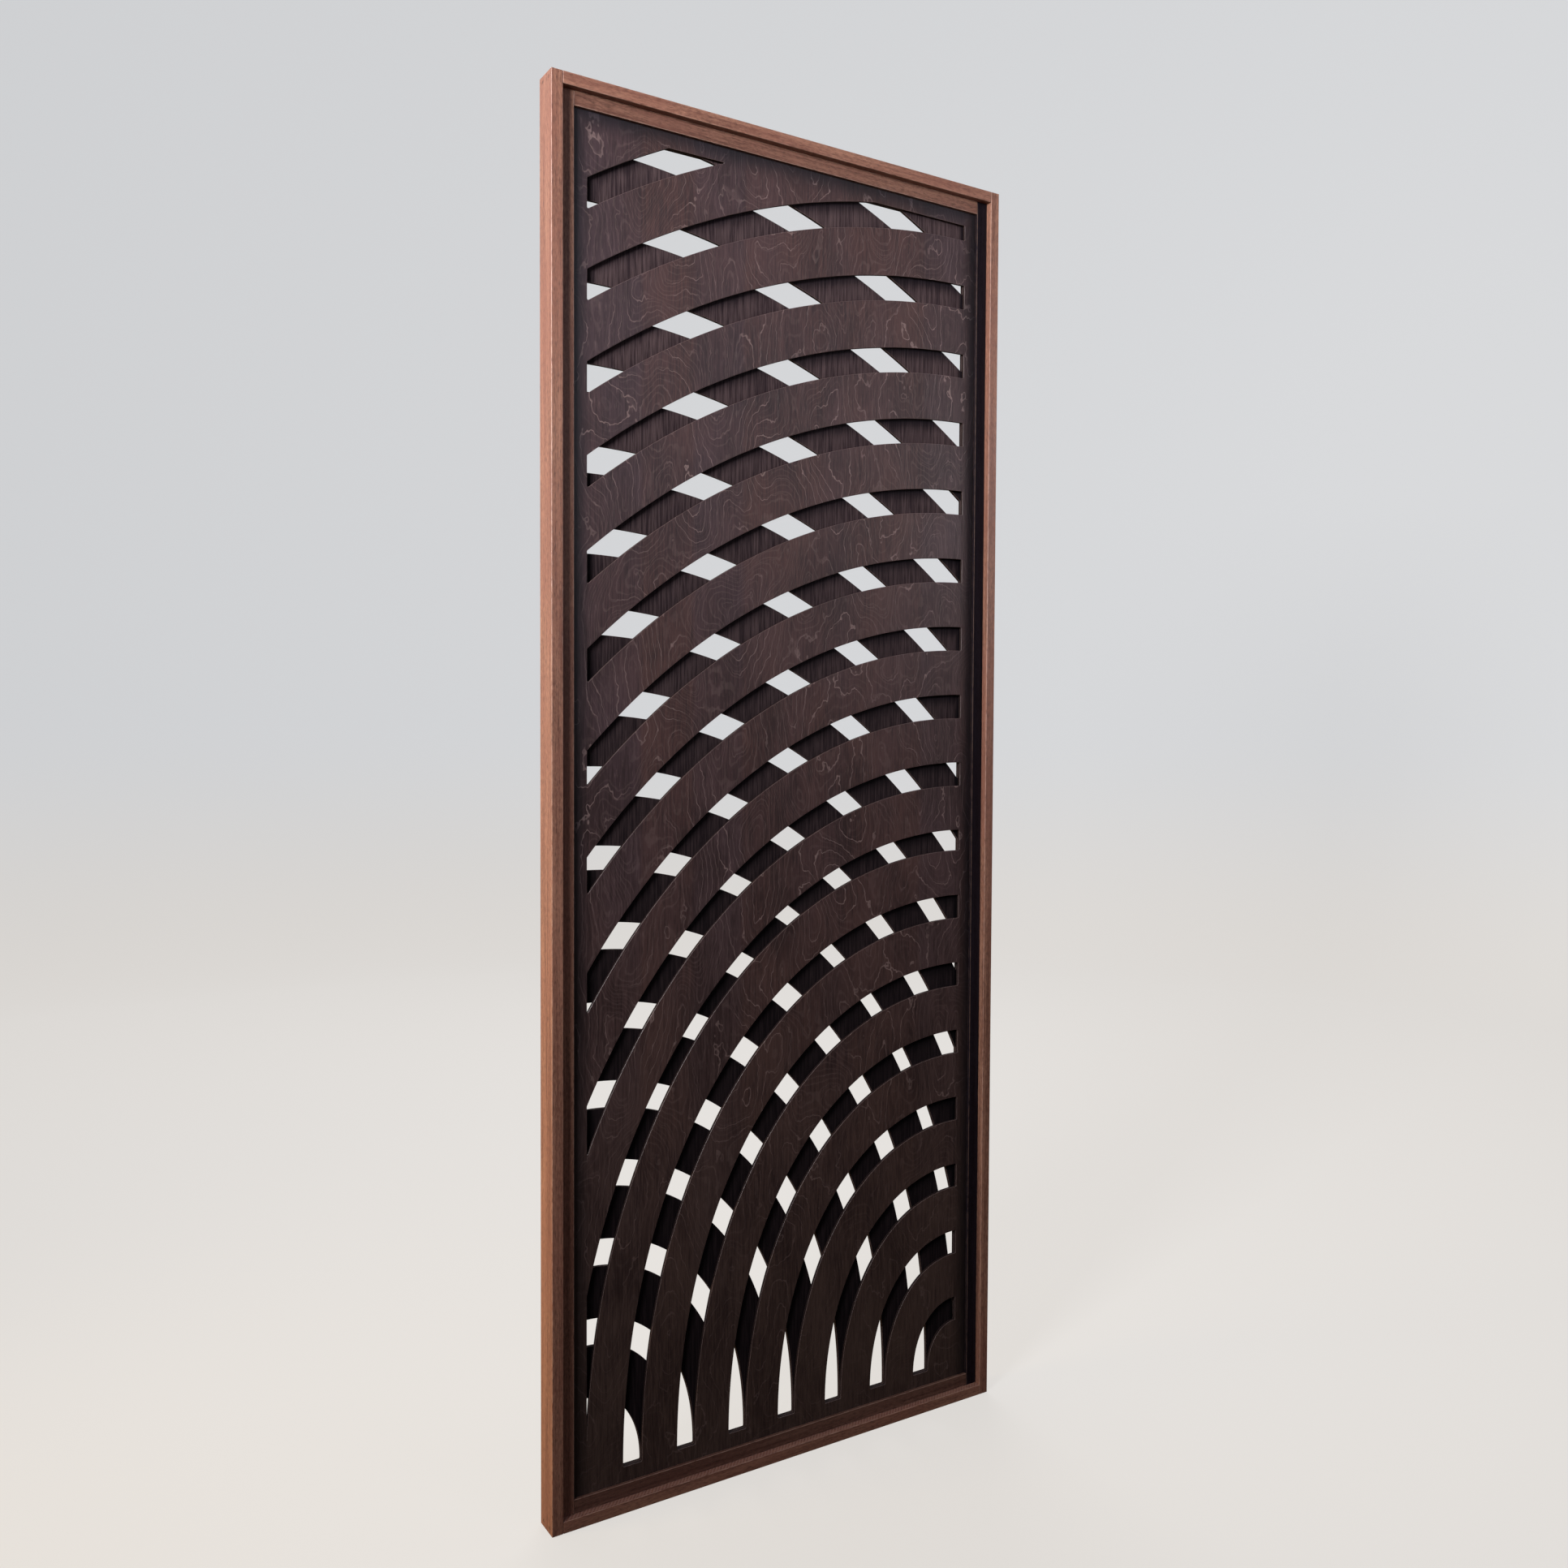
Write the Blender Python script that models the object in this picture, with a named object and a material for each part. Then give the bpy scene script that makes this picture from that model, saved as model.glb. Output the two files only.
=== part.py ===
"""A framed timber screen with two slotted plywood sheets set one behind the other.

X runs across the screen, Y runs from its front (negative) to its back, and Z is up. The origin is
on the floor, under the middle of the frame. Each sheet is cut with concentric ring slots that end
square at an upright window, and the wood left between two slots is a band. The front sheet's rings
are centred on the window's lower right corner, and the back sheet is the same sheet turned round,
so its rings start from the lower left.
"""

import math

import bmesh
import bpy

# Overall size of the frame, in metres
screen_width = 0.940
screen_height = 2.400

# Frame boards, on edge: the thin side shows from the front
frame_board_thickness = 0.020
frame_board_depth = 0.050
frame_arris = 0.0008

# Flat beads that hold the sheets in the frame, on both sides
bead_width = 0.024
bead_thickness = 0.006
bead_arris = 0.0006

# Plywood sheets, and the plain border that shows between the beads and the slots
sheet_thickness = 0.006
sheet_border = 0.026

# Ring slots, measured up the window's upright edge, then drawn narrower across
first_ring_height = 0.1347
slot_width = 0.0463
ring_width_to_height = 0.774

# The bands that come down to the window's foot bulge past an ellipse: 2 is an ellipse, and more is
# fuller. The bands above them are set closer, and each loses that share of the fullness left.
foot_bands = 7
foot_ring_pitch = 0.1351
foot_fullness = 2.109
upper_ring_drop = 0.0053
upper_ring_pitch = 0.1335
fullness_kept = 0.5

# The gap left between pieces that touch, and how far a chord may stand off its arc
contact_gap = 0.0003
arc_tolerance = 0.00014

frame_colour = (0.155, 0.052, 0.030, 1.0)
bead_colour = (0.105, 0.034, 0.022, 1.0)
sheet_colour = (0.035, 0.015, 0.014, 1.0)

half_width = screen_width / 2
half_depth = frame_board_depth / 2
inner_half_width = half_width - frame_board_thickness
inner_bottom = frame_board_thickness
inner_top = screen_height - frame_board_thickness

window_half_width = inner_half_width - bead_width - sheet_border
window_bottom = inner_bottom + bead_width + sheet_border
window_top = inner_top - bead_width - sheet_border

sheet_face = contact_gap / 2
bead_face = sheet_face + sheet_thickness + contact_gap


def clear_scene():
    """Remove every object that the scene holds."""
    for scene_object in list(bpy.data.objects):
        bpy.data.objects.remove(scene_object, do_unlink=True)


def make_material(name, colour, roughness):
    """Return a plain Principled material."""
    material = bpy.data.materials.new(name)
    material.use_nodes = True
    shader = material.node_tree.nodes["Principled BSDF"]
    shader.inputs["Base Color"].default_value = colour
    shader.inputs["Roughness"].default_value = roughness
    shader.inputs["Metallic"].default_value = 0.0
    return material


def add_object(name, mesh, material, location):
    """Link a mesh to the scene as one named object."""
    mesh.materials.append(material)
    new_object = bpy.data.objects.new(name, mesh)
    new_object.location = location
    bpy.context.scene.collection.objects.link(new_object)
    return new_object


def add_board(name, x_range, y_range, z_range, arris, material):
    """Add a straight board that fills the given ranges, with its arrises eased."""
    ranges = (x_range, y_range, z_range)
    size = [high - low for low, high in ranges]
    centre = [(high + low) / 2 for low, high in ranges]
    mesh = bpy.data.meshes.new(name)
    board = bmesh.new()
    bmesh.ops.create_cube(board, size=1.0)
    bmesh.ops.scale(board, verts=board.verts, vec=size)
    board.to_mesh(mesh)
    board.free()
    new_object = add_object(name, mesh, material, centre)
    easing = new_object.modifiers.new("eased arrises", "BEVEL")
    easing.width = arris
    easing.segments = 1
    easing.limit_method = "NONE"
    return new_object


def add_frame(material):
    """Stiles run the full height, and the rails fit between them."""
    depth = (-half_depth, half_depth)
    rail_reach = inner_half_width - contact_gap
    for side, sign in (("left", -1), ("right", 1)):
        edges = sorted((sign * inner_half_width, sign * half_width))
        add_board(f"frame_stile_{side}", edges, depth, (0.0, screen_height), frame_arris, material)
    for place, heights in (("bottom", (0.0, inner_bottom)), ("top", (inner_top, screen_height))):
        reach = (-rail_reach, rail_reach)
        add_board(f"frame_rail_{place}", reach, depth, heights, frame_arris, material)


def add_beads(material):
    """Side beads run the full height of the opening, and the others fit between them."""
    outer = inner_half_width - contact_gap
    inner = outer - bead_width
    bottom = inner_bottom + contact_gap
    top = inner_top - contact_gap
    crossing = (contact_gap - inner, inner - contact_gap)
    for face, sign in (("front", -1), ("back", 1)):
        depth = sorted((sign * bead_face, sign * (bead_face + bead_thickness)))
        add_board(f"bead_{face}_left", (-outer, -inner), depth, (bottom, top), bead_arris, material)
        add_board(f"bead_{face}_right", (inner, outer), depth, (bottom, top), bead_arris, material)
        low = (bottom, bottom + bead_width)
        high = (top - bead_width, top)
        add_board(f"bead_{face}_bottom", crossing, depth, low, bead_arris, material)
        add_board(f"bead_{face}_top", crossing, depth, high, bead_arris, material)


def band_edges(band):
    """Return the heights of a band's inner and outer edge, and its fullness. Band 0 is the corner."""
    if band <= foot_bands:
        pitch = foot_ring_pitch
        inner = first_ring_height + foot_ring_pitch * (band - 1)
        fullness = foot_fullness
    else:
        pitch = upper_ring_pitch
        steps_above = band - foot_bands
        first_upper = first_ring_height + foot_ring_pitch * foot_bands - upper_ring_drop
        inner = first_upper + upper_ring_pitch * (steps_above - 1)
        fullness = 2 + (foot_fullness - 2) * fullness_kept ** steps_above
    return inner, inner + pitch - slot_width, fullness


def ring_arc(height, fullness, window_width, window_height):
    """Return the part of one ring edge inside the window, from its lower end to its upper end.

    Points are (across, up) from the ring's centre, and the list is empty if the edge misses it.
    """
    reach = height * ring_width_to_height
    low_angle = 0.0
    if reach > window_width:
        low_angle = math.acos((window_width / reach) ** (fullness / 2))
    high_angle = math.pi / 2
    if height > window_height:
        high_angle = math.asin((window_height / height) ** (fullness / 2))
    if low_angle >= high_angle:
        return []
    largest_step = 2 * math.acos(1 - arc_tolerance / height)
    steps = math.ceil((high_angle - low_angle) / largest_step)
    power = 2 / fullness
    arc = []
    for step in range(steps + 1):
        angle = low_angle + (high_angle - low_angle) * step / steps
        across = reach * max(0.0, math.cos(angle)) ** power
        arc.append((across, height * math.sin(angle) ** power))
    return arc


def slot_outline(slot, window_width, window_height):
    """Return the outline of one ring slot, between two bands, clipped square by the window."""
    _, inner_height, inner_fullness = band_edges(slot)
    outer_height, _, outer_fullness = band_edges(slot + 1)
    inner_arc = ring_arc(inner_height, inner_fullness, window_width, window_height)
    outer_arc = ring_arc(outer_height, outer_fullness, window_width, window_height)
    if not inner_arc:
        return []
    outline = list(outer_arc)
    if not outer_arc:
        outline.append((window_width, window_height))
    if inner_height < window_height < outer_height:
        outline.append((0.0, window_height))
    outline.extend(reversed(inner_arc))
    if inner_height * ring_width_to_height < window_width < outer_height * ring_width_to_height:
        outline.append((window_width, 0.0))
    return outline


def all_slots():
    """Return the outlines of every ring slot that reaches the window."""
    window_width = 2 * window_half_width
    window_height = window_top - window_bottom
    outlines = []
    while True:
        outline = slot_outline(len(outlines), window_width, window_height)
        if not outline:
            return outlines
        outlines.append(outline)


def add_loop(sheet, points, depth):
    """Add one closed loop of edges in the plane at the given depth."""
    corners = [sheet.verts.new((across, depth, up)) for across, up in points]
    edges = []
    for index, corner in enumerate(corners):
        edges.append(sheet.edges.new((corners[index - 1], corner)))
    return edges


def add_sheet(name, mirror, depth_range, material):
    """Add one slotted sheet. The rings start at the lower right, or lower left if mirror is -1."""
    reach = inner_half_width - contact_gap
    bottom = inner_bottom + contact_gap
    top = inner_top - contact_gap
    near, far = depth_range
    border = [(-reach, bottom), (reach, bottom), (reach, top), (-reach, top)]
    mesh = bpy.data.meshes.new(name)
    sheet = bmesh.new()
    edges = add_loop(sheet, border, near)
    for outline in all_slots():
        placed = [(mirror * (window_half_width - across), window_bottom + up) for across, up in outline]
        edges += add_loop(sheet, placed, near)
    bmesh.ops.triangle_fill(sheet, use_beauty=True, edges=edges)
    extruded = bmesh.ops.extrude_face_region(sheet, geom=sheet.faces[:])
    moved = [item for item in extruded["geom"] if isinstance(item, bmesh.types.BMVert)]
    bmesh.ops.translate(sheet, verts=moved, vec=(0.0, far - near, 0.0))
    bmesh.ops.recalc_face_normals(sheet, faces=sheet.faces)
    sheet.to_mesh(mesh)
    sheet.free()
    return add_object(name, mesh, material, (0.0, 0.0, 0.0))


def add_sheets(material):
    """Two sheets lie back to back in the middle of the frame's depth."""
    back_of_sheet = sheet_face + sheet_thickness
    add_sheet("sheet_front", 1, (-back_of_sheet, -sheet_face), material)
    add_sheet("sheet_back", -1, (sheet_face, back_of_sheet), material)


def main():
    clear_scene()
    add_frame(make_material("frame_wood", frame_colour, 0.48))
    add_beads(make_material("bead_wood", bead_colour, 0.50))
    add_sheets(make_material("stained_plywood", sheet_colour, 0.55))


main()
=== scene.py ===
import math

import bmesh
import bpy
from mathutils import Euler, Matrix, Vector


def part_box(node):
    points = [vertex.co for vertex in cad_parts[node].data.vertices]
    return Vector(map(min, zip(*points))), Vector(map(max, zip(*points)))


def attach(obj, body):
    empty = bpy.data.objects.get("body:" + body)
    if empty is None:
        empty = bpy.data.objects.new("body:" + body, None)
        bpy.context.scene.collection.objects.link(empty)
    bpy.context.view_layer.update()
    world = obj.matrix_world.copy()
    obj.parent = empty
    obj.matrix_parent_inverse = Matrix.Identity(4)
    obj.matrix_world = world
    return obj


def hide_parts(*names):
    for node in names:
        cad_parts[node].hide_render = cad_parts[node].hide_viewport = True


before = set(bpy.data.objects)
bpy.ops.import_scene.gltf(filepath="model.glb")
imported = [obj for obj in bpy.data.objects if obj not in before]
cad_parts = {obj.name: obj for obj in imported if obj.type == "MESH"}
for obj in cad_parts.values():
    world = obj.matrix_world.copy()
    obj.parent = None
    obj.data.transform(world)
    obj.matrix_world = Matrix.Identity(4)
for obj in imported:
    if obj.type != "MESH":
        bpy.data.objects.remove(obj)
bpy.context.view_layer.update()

# The ring slots, as they are cut in the sheets, in metres
FIRST_RING_HEIGHT = 0.1347
SLOT_WIDTH = 0.0463
RING_WIDTH_TO_HEIGHT = 0.774
SHEET_BORDER = 0.026

# Bands up to this one come down to the window's foot and bulge past an ellipse, whose fullness is 2
FOOT_BANDS = 7
FOOT_RING_PITCH = 0.1351
FOOT_FULLNESS = 2.109
UPPER_RING_DROP = 0.0053
UPPER_RING_PITCH = 0.1335
FULLNESS_KEPT = 0.5
FIRST_UPPER_RING = FIRST_RING_HEIGHT + FOOT_RING_PITCH * FOOT_BANDS - UPPER_RING_DROP

# How the slots are finished: the cutter's rounding, the eased arrises and the smoothness of arcs
SLOT_CORNER_RADIUS = 0.0025
SLOT_CORNER_STEPS = 5
CORNER_ANGLE = math.radians(20)
LARGEST_CORNER_SHARE = 0.4
SLOT_ARRIS = 0.0005
SHORTEST_NORMAL = 0.8
ARC_TOLERANCE = 0.00003
SMOOTH_ANGLE = math.radians(25)

# The camera that took the photograph, fitted to the screen's corners and slots
PHOTO_WIDTH = 1932
FOCAL_LENGTH_PIXELS = 1649.2
CAMERA_PLACE = (-1.3057, -2.0703, 1.3411)
CAMERA_TURN = (88.125, -0.288, -32.064)
CAMERA_SHIFT_UP = -0.0064

# The studio: a round floor that curves up into a wall. The flat part has one more ring, at a share
# of its radius.
FLOOR_RADIUS = 5.0
EXTRA_RING_SHARE = 0.5
COVE_RADIUS = 1.5
WALL_HEIGHT = 10.0
COVE_STEPS = 16
TURN_STEPS = 96
MERGE_DISTANCE = 0.0001
FLOOR_TO_WALL = (0.0, 1.4)
FLOOR_ROUGHNESS = 0.8
FLOOR_SHINE = 0.1
FLOOR_RELIEF = 0.0001
FLOOR_NOISE = {"scale": 3.0, "detail": 4.0}

# Power is in watts, spread in degrees, and places, targets and sizes are in metres
LIGHTS = (
    {"name": "left_window", "place": (-3.3, -1.65, 2.7), "target": (0.0, 0.0, 2.9), "size": (0.9, 0.9),
     "power": 100.0, "tint": (0.95, 0.97, 1.0), "spread": 100},
    {"name": "right_window", "place": (2.6, -0.85, 2.2), "target": (0.0, 0.0, 2.4), "size": (0.6, 0.9),
     "power": 8.0, "tint": (1.0, 0.93, 0.96), "spread": 90},
    {"name": "front_window", "place": (1.5, -4.1, 3.2), "target": (0.0, 0.0, 1.9), "size": (1.4, 0.8),
     "power": 17.0, "tint": (0.78, 0.84, 1.0), "spread": 180},
    {"name": "low_left", "place": (-3.4, 0.5, 1.1), "target": (0.0, 0.0, 0.5), "size": (1.2, 0.8),
     "power": 16.0, "tint": (1.0, 0.74, 0.38), "spread": 80},
    {"name": "back_ceiling", "place": (1.6, 3.2, 3.9), "target": (0.0, 0.0, 1.2), "size": (2.4, 2.4),
     "power": 70.0, "tint": (1.0, 0.98, 0.96), "spread": 180},
)

# Where the room's glow changes, as parts of a direction: up in front, up behind, and front to back
FRONT_HORIZON = (-0.12, 0.42)
BACK_HORIZON = (-0.30, 0.10)
FRONT_TO_BACK = (0.0, 0.7)

FRAME_BOARDS = ("frame_stile_left", "frame_stile_right", "frame_rail_top", "frame_rail_bottom")
BEADS = tuple(f"bead_{face}_{side}" for face in ("front", "back")
              for side in ("left", "right", "top", "bottom"))
SAWN_BOARD = "frame_rail_bottom"

# How deeply each bead is stained: 0 leaves it as light as the frame, and 1 would make it black. The
# front right bead's near-black stain is painted shade, where the right stile shades it.
PLAIN_BEAD_STAIN = 0.35
BEAD_STAIN = {"bead_front_left": 0.30, "bead_front_right": 0.96, "bead_front_bottom": 0.55}

# The shares of red, green and blue that a full stain takes, and its share on worn arrises
STAIN_TAKES = (1.0, 0.98, 0.90)
STAIN_ON_ARRISES = 0.85

# Each board's grain starts somewhere else: its number times these steps
BOARD_STEP = (1.37, 2.11, 0.83)
FIRST_BOARD = 1
FIRST_BEAD = 11

# Layers of noise in the boards: a stretch below 1 draws a layer out along the grain
BOARD_NOISE = {
    "figure": {"stretch": 0.025, "scale": 95.0, "detail": 3.0, "roughness": 0.55, "distortion": 0.4},
    "streaks": {"stretch": 0.02, "scale": 380.0, "detail": 4.0, "roughness": 0.6},
    "mottle": {"stretch": 0.35, "scale": 330.0, "detail": 3.0, "roughness": 0.6},
    "fibre": {"stretch": 0.10, "scale": 820.0, "detail": 2.0},
    "blotch": {"stretch": 0.45, "scale": 7.0, "detail": 4.0, "roughness": 0.6},
}
BOARD_TONE = {"figure": 0.36, "streaks": 0.32, "mottle": 0.32}
BOARD_TONE_FADE = (0.37, 0.63)
BOARD_RELIEF = {"streaks": 0.5, "pores": -0.8, "mottle": 0.3}
BLOTCH_FADE = (0.35, 0.65)
BLOTCH_STRENGTH = 0.55
PORE_FADE = (0.54, 0.70)
PORE_STRENGTH = 0.52
BOARD_ROUGHNESS = 0.36
STREAK_ROUGHNESS = 0.25
BOARD_SHINE = 0.40
SHINE_LOST_TO_STAIN = 0.8
RELIEF_DEPTH = 0.00035

# Wear is whole this far in from an arris, and is gone at least this far in, or, where it is ragged,
# up to this much further, in metres
WEAR_WHOLE = 0.0004
WEAR_LEAST = 0.0006
WEAR_RAGGED = 0.0016
WEAR_NOISE = {"scale": 70.0, "detail": 4.0, "roughness": 0.6}
WEAR_FADE = (0.25, 0.75)
FRAME_WEAR = 0.5
# On the beads the paler arrises are partly wear and partly painted highlight, where light catches their
# rounded arrises
BEAD_WEAR_AND_HIGHLIGHT = 0.85

# The filled screw holes, in metres, with the shares of the radius between which they fade out
SCREW_SPOT_RADIUS = 0.0030
SPOT_FADE = (0.8, 1.1)
SPOT_STRENGTH = 0.7

# Saw marks, on faces that look up
SAW_ANGLE = math.radians(40)
SAW_SCALE = 60.0
SAW_DISTORTION = 1.6
SAW_DETAIL = 2.0
LOOKS_UP = (0.7, 0.9)
SAW_STRENGTH = 0.5
SAW_RELIEF = 0.4

# Each sheet's veneer starts somewhere else: its number times these steps
SHEET_STEP = (3.1, 0.0, 1.7)

# Layers of noise in the veneer: a stretch below 1 draws a layer out upwards
SHEET_NOISE = {
    "fibre": {"stretch": 0.06, "scale": 430.0, "detail": 3.0, "roughness": 0.6},
    "streaks": {"stretch": 0.045, "scale": 260.0, "detail": 3.0, "roughness": 0.6, "distortion": 0.25},
    "strips": {"stretch": 0.0, "scale": 5.0, "detail": 0.0},
    "blotch": {"stretch": 0.5, "scale": 8.0, "detail": 5.0, "roughness": 0.62},
    "hue": {"stretch": 0.4, "scale": 6.0, "detail": 3.0, "roughness": 0.6},
    "flecks": {"stretch": 0.12, "scale": 420.0, "detail": 2.0},
    "patches": {"stretch": 0.5, "scale": 7.0, "detail": 3.0, "roughness": 0.6},
}
SHEET_TONE = {"fibre": 0.34, "streaks": 0.30, "blotch": 0.36}
SHEET_TONE_FADE = (0.37, 0.60)
SHEET_RELIEF = {"fibre": 0.50, "broad": 0.25, "streaks": 0.25}
COOLNESS = {"strips": 0.55, "hue": 0.45}
STRIP_FADE = (0.485, 0.515)
HUE_FADE = (0.35, 0.65)

# The figure is faint at the foot, and grows to its full strength between these heights in metres.
# Between them the ground also turns from a browner foot to a cooler top: painted light, for warm light
# low down and cool light up high.
HIGH_UP = (0.1, 1.3)
FIGURE_AT_FOOT = 0.32
ABOVE_FOOT = (0.2, 0.8)
CLOSE_AT_FOOT = 0.3

# Growth lines of the peeled veneer: the slope spaces them, the bend sways them, the ripple frets them
BEND_NOISE = {"scale": 8.5, "detail": 1.0, "distortion": 0.2}
BEND_STRETCH = 0.48
RIPPLE_NOISE = {"scale": 48.0, "detail": 2.0, "roughness": 0.55}
RIPPLE_STRETCH = 0.7
LINE_SLOPE = 13.0
LINE_BEND = 15.0
LINE_RIPPLE = 1.1
LINE_CORE = 0.3
BROAD_LINES = {"closeness": 1.0, "width": 0.042}
CLOSE_LINES = {"closeness": 2.6, "width": 0.15}

# Broad lines are strong where the patches are high, and close ones where they are low
PATCH_FADE = (0.38, 0.62)
BROAD_STRENGTH = (0.07, 0.63)
CLOSE_STRENGTH = (0.045, 0.105)

# Pale flecks all over, and a few pale knots
FLECK_FADE = (0.58, 0.72)
FLECK_STRENGTH = 0.16
KNOT_STRETCH = 0.5
KNOT_SCALE = 13.0
KNOT_FADE = (0.01, 0.05)
KNOT_STRENGTH = 0.4

# The sheets' inner faces, which show through the slots, have plain close streaks
INNER_TONE = {"streaks": 0.55, "fibre": 0.25, "blotch": 0.20}
INNER_TONE_FADE = (0.39, 0.64)
# Between these heights, in metres, the inner faces' painted shade lifts from dark low down to nearly
# none high up
INNER_SHADE_HEIGHTS = (0.65, 2.2)

# Painted shade darkens the inner faces under the slots' outer edges, where the sheet in front shades
# them, and the outer faces by the beads, where the frame shades them.
# One fullness stands for all the upper rings here. Reaches are in metres.
SHADE_REACH_IN_SLOT = 0.030
RIM_PACE_AT_CENTRE = 2.0
UPPER_FULLNESS = 2.02
SHADE_REACH_FROM_BEADS = 0.040

# Plies on the cut edges, and which way a face has to look to count as outer, cut or eased
PLIES = 2.5
PLY_FADE = (0.40, 0.60)
EDGE_NOISE = {"scale": 900.0, "detail": 3.0, "roughness": 0.6}
EDGE_GRAIN = 0.6
LOOKS_OUT = (0.0, 0.1)
CUT_FADE = (0.30, 0.50)
ARRIS_RISE = (0.50, 0.60)
ARRIS_FALL = (0.80, 0.90)
# The eased arrises of the slots are painted paler: mostly a painted highlight, where light catches them,
# and partly paler worn wood
ARRIS_HIGHLIGHT_STRENGTH = 0.30

# Gloss of the sheets: cut edges and inner faces are duller
SHEET_ROUGHNESS = 0.34
TONE_ROUGHNESS = 0.22
DULL_ROUGHNESS = 0.4
SHEET_SHINE = 0.42
DULL_SHINE_LOST = 0.34


class Nodes:
    """A node tree, and short ways to add nodes to it."""

    def __init__(self, tree):
        self.tree = tree

    def node(self, kind, **settings):
        """Add a node and set its properties."""
        new_node = self.tree.nodes.new(kind)
        for key, value in settings.items():
            setattr(new_node, key, value)
        return new_node

    def feed(self, socket, value):
        """Link a socket to a node's output, or set it to a plain value."""
        if isinstance(value, bpy.types.NodeSocket):
            self.tree.links.new(value, socket)
        else:
            socket.default_value = value

    def place(self):
        """Return the point on the object, in metres."""
        return self.node("ShaderNodeTexCoord").outputs["Object"]

    def mapped(self, vector, scale, shift=(0.0, 0.0, 0.0), turn=(0.0, 0.0, 0.0)):
        """Return a vector scaled along each axis, turned and shifted."""
        mapping = self.node("ShaderNodeMapping")
        self.feed(mapping.inputs["Vector"], vector)
        mapping.inputs["Scale"].default_value = scale
        mapping.inputs["Location"].default_value = shift
        mapping.inputs["Rotation"].default_value = turn
        return mapping.outputs["Vector"]

    def split(self, vector):
        """Return a vector's three parts."""
        separate = self.node("ShaderNodeSeparateXYZ")
        self.feed(separate.inputs[0], vector)
        return separate.outputs

    def math(self, operation, first, second=0.0):
        """Return one step of arithmetic."""
        step = self.node("ShaderNodeMath", operation=operation)
        self.feed(step.inputs[0], first)
        self.feed(step.inputs[1], second)
        return step.outputs[0]

    def times(self, first, second):
        """Return the product of two values."""
        return self.math("MULTIPLY", first, second)

    def less(self, first, second):
        """Return the first value less the second."""
        return self.math("SUBTRACT", first, second)

    def sum(self, *values):
        """Add any number of values."""
        total = values[0]
        for value in values[1:]:
            total = self.math("ADD", total, value)
        return total

    def weigh(self, values, weights):
        """Add the values that are named in the weights, each times its weight."""
        return self.sum(*(self.times(values[name], weight) for name, weight in weights.items()))

    def fade(self, value, low, high, start=0.0, end=1.0):
        """Return start where the value is below low and end above high, with a smooth change between."""
        fading = self.node("ShaderNodeMapRange", interpolation_type="SMOOTHSTEP")
        self.feed(fading.inputs["Value"], value)
        self.feed(fading.inputs["From Min"], low)
        self.feed(fading.inputs["From Max"], high)
        fading.inputs["To Min"].default_value = start
        fading.inputs["To Max"].default_value = end
        return fading.outputs["Result"]

    def noise(self, vector, scale, detail, roughness=0.5, distortion=0.0):
        """Return cloudy noise from 0 to 1."""
        cloud = self.node("ShaderNodeTexNoise")
        self.feed(cloud.inputs["Vector"], vector)
        cloud.inputs["Scale"].default_value = scale
        cloud.inputs["Detail"].default_value = detail
        cloud.inputs["Roughness"].default_value = roughness
        cloud.inputs["Distortion"].default_value = distortion
        return cloud.outputs[0]

    def layers(self, table, drawn_out):
        """Return each layer of noise in a table, by name. drawn_out gives the vector for a stretch."""
        result = {}
        for name, settings in table.items():
            others = dict(settings)
            result[name] = self.noise(drawn_out(others.pop("stretch")), **others)
        return result

    def blend(self, amount, first, second, mode="MIX"):
        """Return a blend of two colours."""
        mix = self.node("ShaderNodeMix", data_type="RGBA", blend_type=mode)
        self.feed(mix.inputs["Factor"], amount)
        self.feed(mix.inputs[6], first)
        self.feed(mix.inputs[7], second)
        return mix.outputs[2]

    def bump(self, height, depth):
        """Return a normal that follows a height from 0 to 1, with that depth in metres."""
        relief = self.node("ShaderNodeBump")
        relief.inputs["Distance"].default_value = depth
        self.feed(relief.inputs["Height"], height)
        return relief.outputs[0]


class Surface(Nodes):
    """One Principled material."""

    def __init__(self, name):
        self.material = bpy.data.materials.new(name)
        self.material.use_nodes = True
        super().__init__(self.material.node_tree)
        self.shader = self.tree.nodes["Principled BSDF"]

    def finish(self, colour, roughness, normal):
        """Feed the shader's colour, roughness and normal, and return the material."""
        self.feed(self.shader.inputs["Base Color"], colour)
        self.feed(self.shader.inputs["Roughness"], roughness)
        self.feed(self.shader.inputs["Normal"], normal)
        return self.material


def colour(red, green, blue):
    """Return a linear colour with full alpha."""
    return (red, green, blue, 1.0)


FRAME_LIGHT = colour(0.345, 0.168, 0.108)
FRAME_DARK = colour(0.130, 0.052, 0.034)
FRAME_RED = colour(0.225, 0.088, 0.060)
ARRIS_WEAR_AND_HIGHLIGHT = colour(0.460, 0.275, 0.210)
PORE = colour(0.040, 0.017, 0.012)
PUTTY = colour(0.090, 0.042, 0.028)
SAW_MARK = colour(0.400, 0.220, 0.180)
SHEET_WARM = colour(0.068, 0.031, 0.027)
SHEET_COOL = colour(0.054, 0.030, 0.034)
SHEET_PAINTED_WARM_FOOT = colour(0.056, 0.037, 0.028)
SHEET_DARK = colour(0.020, 0.010, 0.010)
SHEET_LINE = colour(0.250, 0.170, 0.155)
SHEET_KNOT = colour(0.150, 0.100, 0.090)
INNER_LIGHT = colour(0.086, 0.056, 0.055)
INNER_DARK = colour(0.024, 0.015, 0.017)
PLY_LIGHT = colour(0.030, 0.018, 0.016)
PLY_DARK = colour(0.006, 0.004, 0.004)

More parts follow.
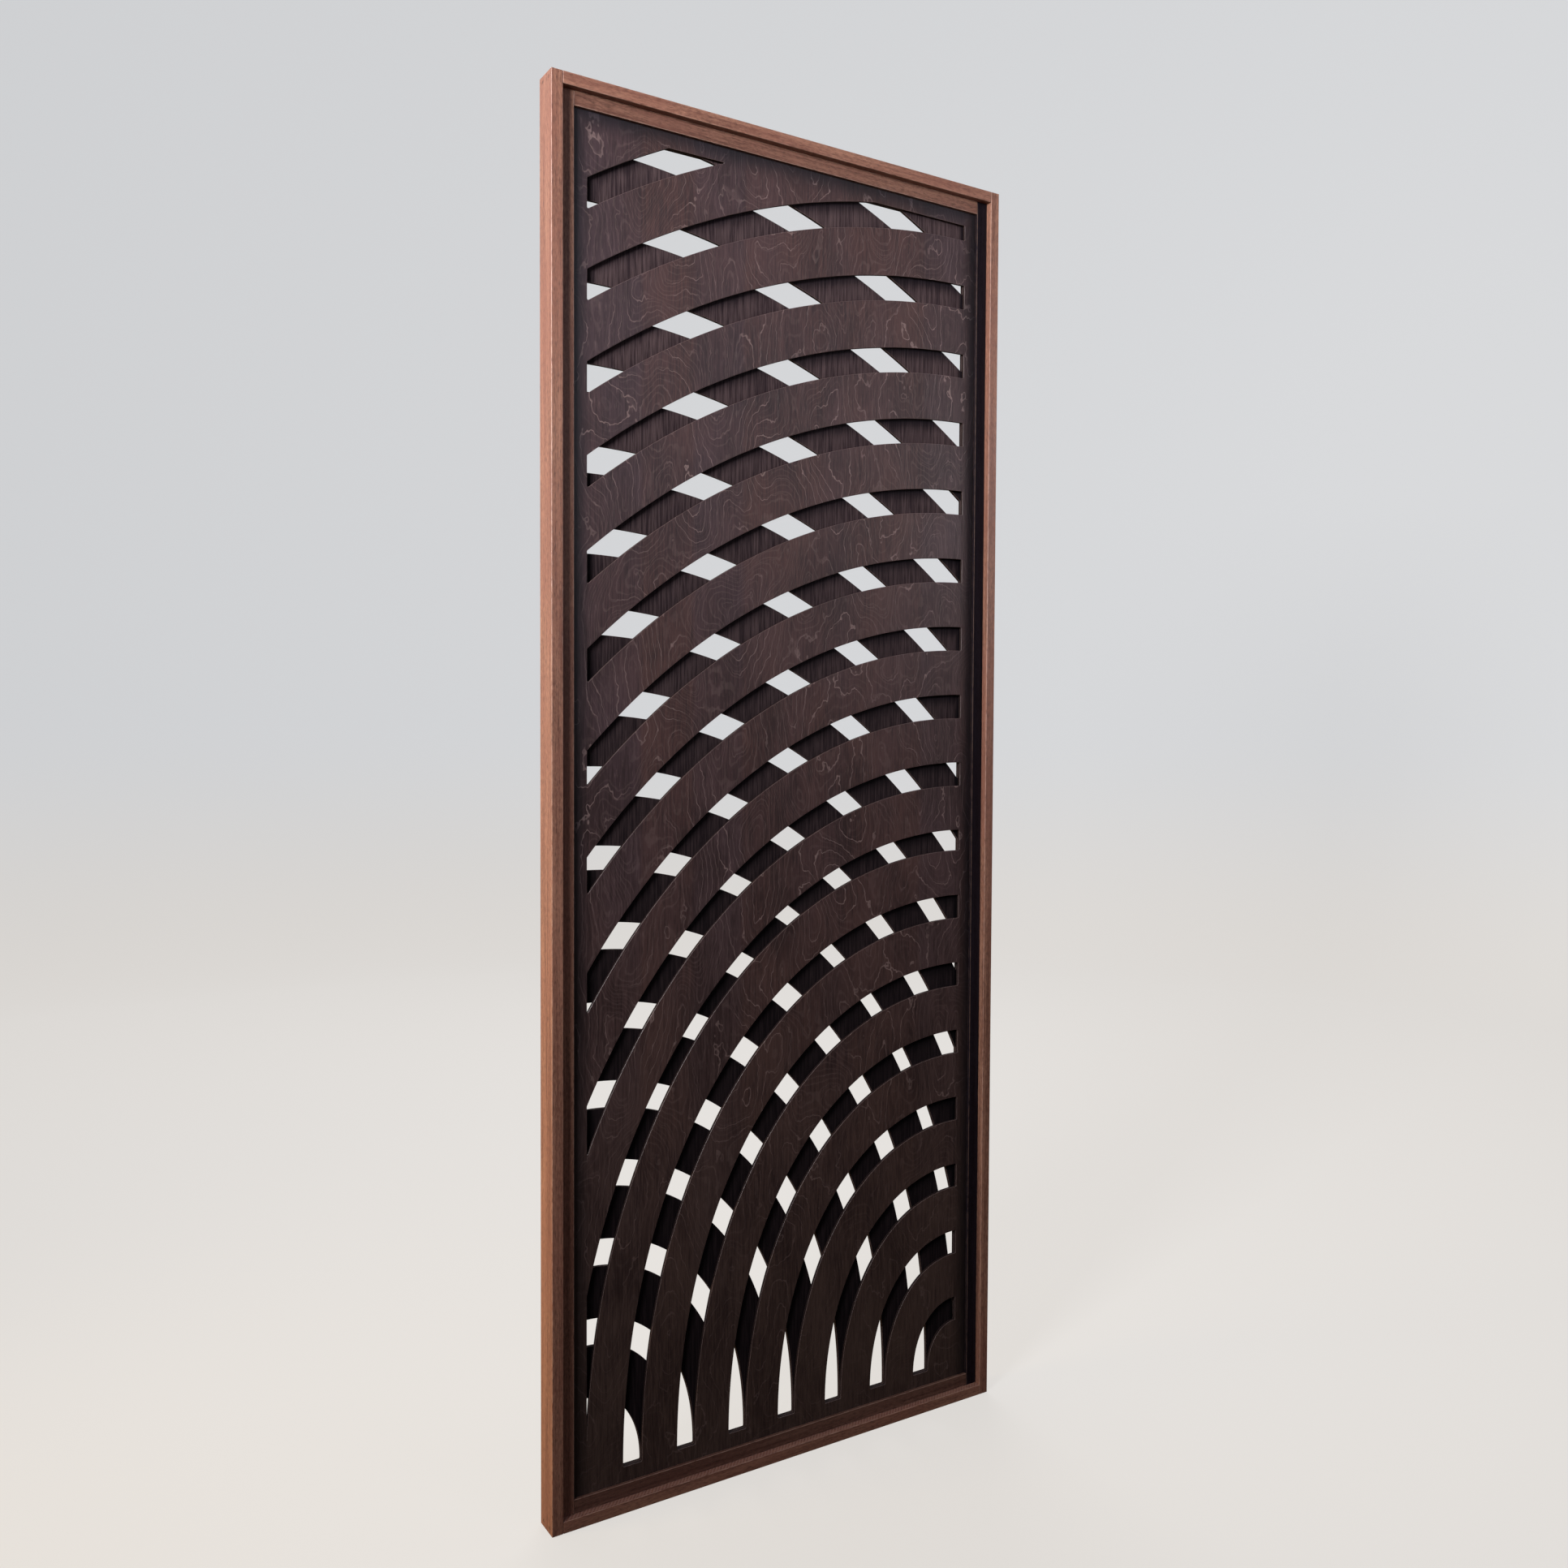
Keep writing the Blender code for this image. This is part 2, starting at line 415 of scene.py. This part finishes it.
# The veneer is multiplied by these, low down and high up, by an edge and away from it. The low ones and
# the edge ones are painted shade: on the inner faces low down and under the slots' outer edges, and on
# the outer faces by the beads.
INNER_PAINTED_SHADE_LOW = colour(0.190, 0.185, 0.205)
INNER_UNSHADED_HIGH = colour(0.950, 0.950, 0.980)
INNER_EDGE_PAINTED_SHADE = colour(0.160, 0.170, 0.230)
INNER_AWAY_FROM_EDGE = colour(1.050, 1.050, 1.050)
BORDER_PAINTED_SHADE = colour(0.190, 0.205, 0.270)
BORDER_AWAY_FROM_BEADS = colour(1.000, 1.000, 1.000)

STUDIO_DIFFUSE = colour(0.170, 0.167, 0.164)
FLOOR_GLOW = colour(0.650, 0.625, 0.595)
WALL_GLOW = colour(0.610, 0.620, 0.635)
FRONT_BELOW = colour(0.050, 0.032, 0.018)
FRONT_ABOVE = colour(0.090, 0.090, 0.110)
BACK_BELOW = colour(0.240, 0.180, 0.110)
BACK_ABOVE = colour(0.600, 0.630, 0.670)


def wear_and_highlight_on_arrises(surface, low, high, along):
    """Return 1 on a board's long arrises, fading to 0 within a ragged millimetre or two: the paler band
    of wear, and on the beads also a painted highlight.
    """
    parts = surface.split(surface.place())
    distances = []
    for axis in range(3):
        if axis == along:
            continue
        middle = (low[axis] + high[axis]) / 2
        half = (high[axis] - low[axis]) / 2
        off_middle = surface.math("ABSOLUTE", surface.less(parts[axis], middle))
        distances.append(surface.less(half, off_middle))
    to_arris = surface.sum(*distances)
    ragged = surface.noise(surface.place(), **WEAR_NOISE)
    reach = surface.times(surface.fade(ragged, *WEAR_FADE), WEAR_RAGGED)
    return surface.fade(to_arris, WEAR_WHOLE, surface.sum(reach, WEAR_LEAST), start=1.0, end=0.0)


def filled_holes(surface, places):
    """Return 1 inside small round spots at the given places."""
    inner, outer = (SCREW_SPOT_RADIUS * share for share in SPOT_FADE)
    spots = []
    for place in places:
        away = surface.node("ShaderNodeVectorMath", operation="DISTANCE")
        surface.feed(away.inputs[0], surface.place())
        away.inputs[1].default_value = place
        spots.append(surface.fade(away.outputs["Value"], inner, outer, start=1.0, end=0.0))
    return surface.sum(*spots)


def saw_mark_stripes(surface):
    """Return slanting saw marks on faces that look up, from 0 to 1."""
    turned = surface.mapped(surface.place(), (1.0, 1.0, 1.0), turn=(0.0, 0.0, SAW_ANGLE))
    wave = surface.node("ShaderNodeTexWave", bands_direction="X", wave_profile="SIN")
    surface.feed(wave.inputs["Vector"], turned)
    wave.inputs["Scale"].default_value = SAW_SCALE
    wave.inputs["Distortion"].default_value = SAW_DISTORTION
    wave.inputs["Detail"].default_value = SAW_DETAIL
    facing = surface.node("ShaderNodeNewGeometry").outputs["True Normal"]
    up = surface.fade(surface.split(facing)[2], *LOOKS_UP)
    return surface.times(wave.outputs["Fac"], up)


def board_wood(node, number, stain_and_shade_depth=0.0, wear_and_highlight_strength=FRAME_WEAR, spots=()):
    """Return stained hardwood with its grain along the board. More stain makes it darker, and on the
    front right bead the stain also carries painted shade.
    """
    surface = Surface(node + "_wood")
    low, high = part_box(node)
    sizes = [b - a for a, b in zip(low, high)]
    along = sizes.index(max(sizes))
    shift = [number * step for step in BOARD_STEP]

    def drawn_out(stretch):
        scale = [1.0, 1.0, 1.0]
        scale[along] = stretch
        return surface.mapped(surface.place(), scale, shift)

    layers = surface.layers(BOARD_NOISE, drawn_out)
    layers["pores"] = surface.fade(layers["fibre"], *PORE_FADE, end=PORE_STRENGTH)
    tone = surface.weigh(layers, BOARD_TONE)
    wood = surface.blend(surface.fade(tone, *BOARD_TONE_FADE), FRAME_DARK, FRAME_LIGHT)
    reddish = surface.fade(layers["blotch"], *BLOTCH_FADE, end=BLOTCH_STRENGTH)
    wood = surface.blend(reddish, wood, FRAME_RED)
    wood = surface.blend(layers["pores"], wood, PORE)
    stain = colour(*(1.0 - stain_and_shade_depth * share for share in STAIN_TAKES))
    wood = surface.blend(1.0, wood, stain, "MULTIPLY")
    # Paler arrises: wear, and on the beads also painted highlight
    worn = colour(*(part * (1.0 - stain_and_shade_depth * STAIN_ON_ARRISES) for part in ARRIS_WEAR_AND_HIGHLIGHT[:3]))
    wear = wear_and_highlight_on_arrises(surface, low, high, along)
    wood = surface.blend(surface.times(wear, wear_and_highlight_strength), wood, worn)
    height = surface.weigh(layers, BOARD_RELIEF)
    if node == SAWN_BOARD:
        marks = saw_mark_stripes(surface)
        wood = surface.blend(surface.times(marks, SAW_STRENGTH), wood, SAW_MARK)
        height = surface.sum(height, surface.times(marks, SAW_RELIEF))
    if spots:
        filled = filled_holes(surface, spots)
        wood = surface.blend(surface.times(filled, SPOT_STRENGTH), wood, PUTTY)
        height = surface.less(height, filled)
    roughness = surface.sum(surface.times(layers["streaks"], STREAK_ROUGHNESS), BOARD_ROUGHNESS)
    shine = BOARD_SHINE * (1.0 - SHINE_LOST_TO_STAIN * stain_and_shade_depth)
    surface.shader.inputs["Specular IOR Level"].default_value = shine
    return surface.finish(wood, roughness, surface.bump(height, RELIEF_DEPTH))


def peeled_lines(surface, vector, closeness, width):
    """Return thin growth lines, as on a peeled veneer: the level lines of slow upright noise."""
    across = surface.split(vector)[0]
    bend = surface.noise(surface.mapped(vector, (1.0, 0.0, BEND_STRETCH)), **BEND_NOISE)
    ripple = surface.noise(surface.mapped(vector, (1.0, 0.0, RIPPLE_STRETCH)), **RIPPLE_NOISE)
    level = surface.sum(
        surface.times(across, LINE_SLOPE * closeness),
        surface.times(bend, LINE_BEND * closeness),
        surface.times(ripple, LINE_RIPPLE),
    )
    off_line = surface.math("ABSOLUTE", surface.less(surface.math("FRACT", level), 0.5))
    return surface.fade(off_line, width * LINE_CORE, width, start=1.0, end=0.0)


def depth_in_slot(surface, window, side):
    """Return how far a point is from the outer edge of the slot in front of it, in metres.

    The window's upright edges count as outer edges too, and the one by the rings' centre as a nearer one
    than it is, so that the painted shade reaches less far from it.
    """
    left, right, bottom, _ = window
    across, _, up = surface.split(surface.place())
    across = surface.less(right, surface.times(across, side))
    to_far_side = surface.less(right - left, across)
    to_centre_side = surface.times(across, RIM_PACE_AT_CENTRE)
    wide = surface.math("MAXIMUM", surface.math("DIVIDE", across, RING_WIDTH_TO_HEIGHT), 0.0)
    tall = surface.math("MAXIMUM", surface.less(up, bottom), 0.0)

    def ring_at(fullness, first, pitch):
        powers = surface.sum(*(surface.math("POWER", part, fullness) for part in (wide, tall)))
        height = surface.math("POWER", powers, 1 / fullness)
        rings = surface.math("DIVIDE", surface.less(height, first), pitch)
        return height, surface.times(surface.less(1.0, surface.math("FRACT", rings)), pitch)

    foot_height, to_foot_ring = ring_at(FOOT_FULLNESS, FIRST_RING_HEIGHT, FOOT_RING_PITCH)
    _, to_upper_ring = ring_at(UPPER_FULLNESS, FIRST_UPPER_RING, UPPER_RING_PITCH)
    is_upper = surface.math("GREATER_THAN", foot_height, FIRST_UPPER_RING - SLOT_WIDTH)
    to_ring = surface.sum(
        surface.times(to_foot_ring, surface.less(1.0, is_upper)),
        surface.times(to_upper_ring, is_upper),
    )
    return surface.math("MINIMUM", to_ring, surface.math("MINIMUM", to_far_side, to_centre_side))


def depth_from_beads(surface, window):
    """Return how far a point of a sheet is from the nearest side bead or the top one, in metres."""
    _, right, _, top = window
    across, _, up = surface.split(surface.place())
    to_side = surface.less(right, surface.math("ABSOLUTE", across))
    nearest = surface.math("MINIMUM", to_side, surface.less(top, up))
    return surface.sum(nearest, SHEET_BORDER)


def outer_face(surface, layers, place, up, window):
    """Return the colour of a sheet's outer face: lines, flecks and knots on a streaky ground."""
    high_up = surface.fade(up, *HIGH_UP, start=FIGURE_AT_FOOT)
    fades = {
        "strips": surface.fade(layers["strips"], *STRIP_FADE),
        "hue": surface.fade(layers["hue"], *HUE_FADE),
    }
    # Cooler up high and browner at the foot: painted light colour, standing in for cool light above and
    # warm light below
    coolness = surface.times(surface.weigh(fades, COOLNESS), high_up)
    ground = surface.blend(coolness, SHEET_WARM, SHEET_COOL)
    ground = surface.blend(surface.less(1.0, high_up), ground, SHEET_PAINTED_WARM_FOOT)
    ground = surface.blend(surface.fade(layers["tone"], *SHEET_TONE_FADE), SHEET_DARK, ground)

    broad_strength = surface.fade(layers["patches"], *PATCH_FADE, *BROAD_STRENGTH)
    close_strength = surface.fade(layers["patches"], *reversed(PATCH_FADE), *CLOSE_STRENGTH)
    close_strength = surface.times(close_strength, surface.fade(up, *ABOVE_FOOT, start=CLOSE_AT_FOOT))
    marks = surface.sum(
        surface.times(layers["broad"], broad_strength),
        surface.fade(layers["flecks"], *FLECK_FADE, end=FLECK_STRENGTH),
    )
    lines = surface.sum(
        surface.times(marks, high_up),
        surface.times(layers["close"], close_strength),
    )
    veneer = surface.blend(lines, ground, SHEET_LINE)

    knots = surface.node("ShaderNodeTexVoronoi")
    surface.feed(knots.inputs["Vector"], surface.mapped(place, (1.0, 0.0, KNOT_STRETCH)))
    knots.inputs["Scale"].default_value = KNOT_SCALE
    knot = surface.fade(knots.outputs["Distance"], *KNOT_FADE, start=KNOT_STRENGTH, end=0.0)
    veneer = surface.blend(surface.times(knot, high_up), veneer, SHEET_KNOT)

    # Painted shade by the beads, where the frame shades the sheet
    border = surface.fade(depth_from_beads(surface, window), 0.0, SHADE_REACH_FROM_BEADS)
    return surface.blend(1.0, veneer, surface.blend(border, BORDER_PAINTED_SHADE, BORDER_AWAY_FROM_BEADS), "MULTIPLY")


def inner_face(surface, layers, up, window, side):
    """Return the colour of a sheet's inner face: plain, with painted shade low down and under the slots'
    edges.
    """
    tone = surface.weigh(layers, INNER_TONE)
    plain = surface.blend(surface.fade(tone, *INNER_TONE_FADE), INNER_DARK, INNER_LIGHT)
    # Painted shade low down, where little light reaches into the slots
    by_height = surface.blend(surface.fade(up, *INNER_SHADE_HEIGHTS), INNER_PAINTED_SHADE_LOW, INNER_UNSHADED_HIGH)
    plain = surface.blend(1.0, plain, by_height, "MULTIPLY")
    # Painted shade under the slots' outer edges, where the sheet in front shades this face
    rim = surface.fade(depth_in_slot(surface, window, side), 0.0, SHADE_REACH_IN_SLOT)
    return surface.blend(1.0, plain, surface.blend(rim, INNER_EDGE_PAINTED_SHADE, INNER_AWAY_FROM_EDGE), "MULTIPLY")


def cut_edge(surface, depth, near, far):
    """Return the colour of a sheet's cut edges: its plies, blurred by the end grain."""
    share = surface.math("DIVIDE", surface.less(depth, near), far - near)
    ply = surface.math("FRACT", surface.times(share, PLIES))
    plies = surface.blend(surface.fade(ply, *PLY_FADE), PLY_DARK, PLY_LIGHT)
    grain = surface.times(surface.noise(surface.place(), **EDGE_NOISE), EDGE_GRAIN)
    return surface.blend(grain, plies, SHEET_DARK)


def stained_plywood(name, number, near, far, window, outward):
    """Return dark stained plywood, between two depths. Outward is -1 or 1, and says which face shows.

    The face that looks outward has the finer figure, the other is plain, and the edges show plies.
    """
    surface = Surface(name)
    place = surface.mapped(surface.place(), (1.0, 0.0, 1.0), [number * step for step in SHEET_STEP])

    def drawn_out(stretch):
        return surface.mapped(place, (1.0, 0.0, stretch))

    layers = surface.layers(SHEET_NOISE, drawn_out)
    layers["tone"] = surface.weigh(layers, SHEET_TONE)
    layers["broad"] = peeled_lines(surface, place, **BROAD_LINES)
    layers["close"] = peeled_lines(surface, place, **CLOSE_LINES)
    _, depth, up = surface.split(surface.place())
    facing = surface.split(surface.node("ShaderNodeNewGeometry").outputs["True Normal"])[1]
    flatness = surface.math("ABSOLUTE", facing)
    looks_out = surface.fade(surface.times(facing, outward), *LOOKS_OUT)
    cut = surface.fade(flatness, *CUT_FADE, start=1.0, end=0.0)

    plain = inner_face(surface, layers, up, window, outward)
    veneer = outer_face(surface, layers, place, up, window)
    wood = surface.blend(looks_out, plain, veneer)
    wood = surface.blend(cut, wood, cut_edge(surface, depth, near, far))
    # Painted highlight on the eased arrises, partly paler worn wood
    eased = surface.times(
        surface.fade(flatness, *ARRIS_RISE),
        surface.fade(flatness, *ARRIS_FALL, start=ARRIS_HIGHLIGHT_STRENGTH, end=0.0),
    )
    wood = surface.blend(eased, wood, SHEET_LINE)

    dull = surface.math("MAXIMUM", cut, surface.less(1.0, looks_out))
    roughness = surface.sum(
        surface.times(layers["tone"], TONE_ROUGHNESS),
        surface.times(dull, DULL_ROUGHNESS),
        SHEET_ROUGHNESS,
    )
    shine = surface.less(SHEET_SHINE, surface.times(dull, DULL_SHINE_LOST))
    surface.feed(surface.shader.inputs["Specular IOR Level"], shine)
    height = surface.weigh(layers, SHEET_RELIEF)
    return surface.finish(wood, roughness, surface.bump(height, RELIEF_DEPTH))


def set_material(piece, material):
    """Show a piece in one material."""
    piece.data.materials.clear()
    piece.data.materials.append(material)


def screw_places(node):
    """Return where a stile's filled screw holes are: two at each end, on its outer face."""
    if "stile" not in node:
        return ()
    low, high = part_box(node)
    outer_side = low[0] if node.endswith("left") else high[0]
    half_thickness = (high[0] - low[0]) / 2
    quarter_depth = (high[1] - low[1]) / 4
    heights = (low[2] + half_thickness, high[2] - half_thickness)
    return [(outer_side, depth, height) for height in heights
            for depth in (-quarter_depth, quarter_depth)]


def dress_boards():
    """Give each frame board and bead its own stained wood."""
    for number, node in enumerate(FRAME_BOARDS, start=FIRST_BOARD):
        wood = board_wood(node, number, spots=screw_places(node))
        set_material(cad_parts[node], wood)
    for number, node in enumerate(BEADS, start=FIRST_BEAD):
        # The stain depth also carries the front right bead's painted shade
        stain = BEAD_STAIN.get(node, PLAIN_BEAD_STAIN)
        set_material(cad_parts[node], board_wood(node, number, stain, BEAD_WEAR_AND_HIGHLIGHT))


def band_edges(band):
    """Return the heights of a band's inner and outer edge, and its fullness. Band 0 is the corner."""
    if band <= FOOT_BANDS:
        pitch = FOOT_RING_PITCH
        inner = FIRST_RING_HEIGHT + FOOT_RING_PITCH * (band - 1)
        fullness = FOOT_FULLNESS
    else:
        pitch = UPPER_RING_PITCH
        steps_above = band - FOOT_BANDS
        inner = FIRST_UPPER_RING + UPPER_RING_PITCH * (steps_above - 1)
        fullness = 2 + (FOOT_FULLNESS - 2) * FULLNESS_KEPT ** steps_above
    return inner, inner + pitch - SLOT_WIDTH, fullness


def ring_arc(height, fullness, window_width, window_height):
    """Return one ring edge inside the window as (across, up) points, lower end first."""
    reach = height * RING_WIDTH_TO_HEIGHT
    low_angle = math.acos(min(1.0, window_width / reach) ** (fullness / 2))
    high_angle = math.asin(min(1.0, window_height / height) ** (fullness / 2))
    if low_angle >= high_angle:
        return []
    largest_step = 2 * math.acos(1 - ARC_TOLERANCE / height)
    steps = math.ceil((high_angle - low_angle) / largest_step)
    power = 2 / fullness
    arc = []
    for step in range(steps + 1):
        angle = low_angle + (high_angle - low_angle) * step / steps
        across = reach * max(0.0, math.cos(angle)) ** power
        arc.append((across, height * math.sin(angle) ** power))
    return arc


def slot_outline(slot, window_width, window_height):
    """Return the outline of one ring slot, between two bands, clipped square by the window."""
    _, inner_height, inner_fullness = band_edges(slot)
    outer_height, _, outer_fullness = band_edges(slot + 1)
    inner_arc = ring_arc(inner_height, inner_fullness, window_width, window_height)
    if not inner_arc:
        return []
    outline = ring_arc(outer_height, outer_fullness, window_width, window_height)
    if not outline:
        outline.append((window_width, window_height))
    if inner_height < window_height < outer_height:
        outline.append((0.0, window_height))
    outline.extend(reversed(inner_arc))
    if inner_height * RING_WIDTH_TO_HEIGHT < window_width < outer_height * RING_WIDTH_TO_HEIGHT:
        outline.append((window_width, 0.0))
    return outline


def neighbours(points):
    """Yield each point of a closed outline with the ones before and after it."""
    for index, point in enumerate(points):
        yield Vector(points[index - 1]), Vector(point), Vector(points[(index + 1) % len(points)])


def rounded(points, radius):
    """Return a closed outline with its sharp corners rounded, as a round cutter leaves them."""
    result = []
    for before, corner, after in neighbours(points):
        back, ahead = before - corner, after - corner
        turn = math.pi - back.angle(ahead)
        if turn < CORNER_ANGLE:
            result.append(corner)
            continue
        room = min(back.length, ahead.length) * LARGEST_CORNER_SHARE
        reach = min(radius * math.tan(turn / 2), room)
        start = corner + back.normalized() * reach
        end = corner + ahead.normalized() * reach
        for step in range(SLOT_CORNER_STEPS + 1):
            share = step / SLOT_CORNER_STEPS
            first = start.lerp(corner, share)
            second = corner.lerp(end, share)
            result.append(first.lerp(second, share))
    return result


def grown(points, distance):
    """Return a closed outline moved outwards by a distance."""
    area = sum(a.x * b.y - b.x * a.y for _, a, b in neighbours(points))
    side = -1.0 if area > 0 else 1.0
    result = []
    for before, corner, after in neighbours(points):
        first = (corner - before).normalized()
        second = (after - corner).normalized()
        normal = Vector((-first.y - second.y, first.x + second.x))
        length = max(normal.length, SHORTEST_NORMAL)
        result.append(corner + normal.normalized() * (side * distance * 2 / length))
    return result


def window_of(node):
    """Return the slotted window's edges on a sheet: left, right, bottom and top."""
    side_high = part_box(node.replace("sheet", "bead") + "_left")[1]
    bottom_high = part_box(node.replace("sheet", "bead") + "_bottom")[1]
    top_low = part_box(node.replace("sheet", "bead") + "_top")[0]
    half_width = -side_high[0] - SHEET_BORDER
    return -half_width, half_width, bottom_high[2] + SHEET_BORDER, top_low[2] - SHEET_BORDER


def add_ring(sheet, points, depth):
    """Add one closed loop of edges at a depth and return its corners and edges."""
    corners = [sheet.verts.new((across, depth, up)) for across, up in points]
    edges = [sheet.edges.new((corners[i - 1], corner)) for i, corner in enumerate(corners)]
    return corners, edges


def slotted_sheet(node, mirror, number):
    """Build one sheet with rounded slot corners and eased arrises, in place of its CAD solid."""
    low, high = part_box(node)
    window = window_of(node)
    left, right, bottom, top = window
    outlines = [[(low[0], low[2]), (high[0], low[2]), (high[0], high[2]), (low[0], high[2])]]
    easing = [0.0]
    while True:
        outline = slot_outline(len(outlines) - 1, right - left, top - bottom)
        if not outline:
            break
        placed = [(mirror * (right - across), bottom + up) for across, up in outline]
        outlines.append(rounded(placed, SLOT_CORNER_RADIUS))
        easing.append(SLOT_ARRIS)
    sheet = bmesh.new()
    front_edges = []
    back_edges = []
    for outline, ease in zip(outlines, easing):
        eased = grown(outline, ease) if ease else outline
        rings = [add_ring(sheet, eased, low[1])]
        if ease:
            rings.append(add_ring(sheet, outline, low[1] + ease))
            rings.append(add_ring(sheet, outline, high[1] - ease))
        rings.append(add_ring(sheet, eased, high[1]))
        front_edges += rings[0][1]
        back_edges += rings[-1][1]
        for (near, _), (far, _) in zip(rings, rings[1:]):
            for i in range(len(near)):
                sheet.faces.new((near[i - 1], near[i], far[i], far[i - 1]))
    bmesh.ops.triangle_fill(sheet, use_beauty=True, edges=front_edges)
    bmesh.ops.triangle_fill(sheet, use_beauty=True, edges=back_edges)
    bmesh.ops.recalc_face_normals(sheet, faces=sheet.faces)
    mesh = bpy.data.meshes.new("slotted_" + node)
    sheet.to_mesh(mesh)
    sheet.free()
    mesh.shade_smooth()
    mesh.set_sharp_from_angle(angle=SMOOTH_ANGLE)
    piece = bpy.data.objects.new("slotted_" + node, mesh)
    bpy.context.scene.collection.objects.link(piece)
    veneer = stained_plywood(node + "_veneer", number, low[1], high[1], window, -mirror)
    set_material(piece, veneer)
    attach(piece, "root")
    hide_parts(node)


def studio_floor():
    """Build the round floor that curves up into a wall. It glows, but lights nothing."""
    profile = [(0.0, 0.0), (FLOOR_RADIUS * EXTRA_RING_SHARE, 0.0)]
    for step in range(COVE_STEPS + 1):
        angle = math.pi / 2 * step / COVE_STEPS
        out = FLOOR_RADIUS + COVE_RADIUS * math.sin(angle)
        profile.append((out, COVE_RADIUS * (1 - math.cos(angle))))
    profile.append((FLOOR_RADIUS + COVE_RADIUS, WALL_HEIGHT))
    cove = bmesh.new()
    corners = [cove.verts.new((out, 0.0, up)) for out, up in profile]
    edges = [cove.edges.new(pair) for pair in zip(corners, corners[1:])]
    bmesh.ops.spin(cove, geom=corners + edges, axis=(0, 0, 1), cent=(0, 0, 0),
                   angle=math.tau, steps=TURN_STEPS)
    bmesh.ops.remove_doubles(cove, verts=cove.verts, dist=MERGE_DISTANCE)
    bmesh.ops.recalc_face_normals(cove, faces=cove.faces)
    mesh = bpy.data.meshes.new("studio_floor")
    cove.to_mesh(mesh)
    cove.free()
    mesh.shade_smooth()
    floor = bpy.data.objects.new("studio_floor", mesh)
    bpy.context.scene.collection.objects.link(floor)
    surface = Surface("studio_floor")
    rise = surface.fade(surface.split(surface.place())[2], *FLOOR_TO_WALL)
    speckle = surface.noise(surface.place(), **FLOOR_NOISE)
    glow = surface.blend(rise, FLOOR_GLOW, WALL_GLOW)
    surface.feed(surface.shader.inputs["Emission Color"], glow)
    surface.shader.inputs["Emission Strength"].default_value = 1.0
    surface.shader.inputs["Specular IOR Level"].default_value = FLOOR_SHINE
    normal = surface.bump(speckle, FLOOR_RELIEF)
    set_material(floor, surface.finish(STUDIO_DIFFUSE, FLOOR_ROUGHNESS, normal))
    floor.visible_diffuse = False
    floor.visible_glossy = False
    floor.visible_shadow = False


def area_light(name, place, target, size, power, tint, spread):
    """Add a soft rectangular light that shines at a point."""
    data = bpy.data.lights.new(name, "AREA")
    data.shape = "RECTANGLE"
    data.size, data.size_y = size
    data.energy = power
    data.color = tint
    data.spread = math.radians(spread)
    light = bpy.data.objects.new(name, data)
    light.location = place
    direction = Vector(target) - Vector(place)
    light.rotation_mode = "QUATERNION"
    light.rotation_quaternion = direction.to_track_quat("-Z", "Y")
    bpy.context.scene.collection.objects.link(light)


def add_world():
    """Surround the screen with a pale room behind and a dim one in front, both warm and dim below."""
    world = bpy.data.worlds.new("studio")
    world.use_nodes = True
    room = Nodes(world.node_tree)
    _, back, up = room.split(room.node("ShaderNodeTexCoord").outputs["Generated"])
    in_front = room.blend(room.fade(up, *FRONT_HORIZON), FRONT_BELOW, FRONT_ABOVE)
    behind = room.blend(room.fade(up, *BACK_HORIZON), BACK_BELOW, BACK_ABOVE)
    around = room.blend(room.fade(back, *FRONT_TO_BACK), in_front, behind)
    room.feed(world.node_tree.nodes["Background"].inputs["Color"], around)
    bpy.context.scene.world = world


def light_studio():
    """Light the screen from both sides, more weakly from the front, and from above behind it."""
    for light in LIGHTS:
        area_light(**light)
    add_world()
    bpy.context.scene.view_settings.view_transform = "Standard"


def add_camera():
    """Look from where the photograph was taken."""
    data = bpy.data.cameras.new("photo_camera")
    data.lens = FOCAL_LENGTH_PIXELS / PHOTO_WIDTH * data.sensor_width
    data.shift_y = CAMERA_SHIFT_UP
    camera = bpy.data.objects.new("photo_camera", data)
    camera.location = CAMERA_PLACE
    camera.rotation_euler = Euler([math.radians(angle) for angle in CAMERA_TURN])
    bpy.context.scene.collection.objects.link(camera)
    bpy.context.scene.camera = camera


dress_boards()
slotted_sheet("sheet_front", mirror=1, number=1)
slotted_sheet("sheet_back", mirror=-1, number=2)
studio_floor()
light_studio()
add_camera()
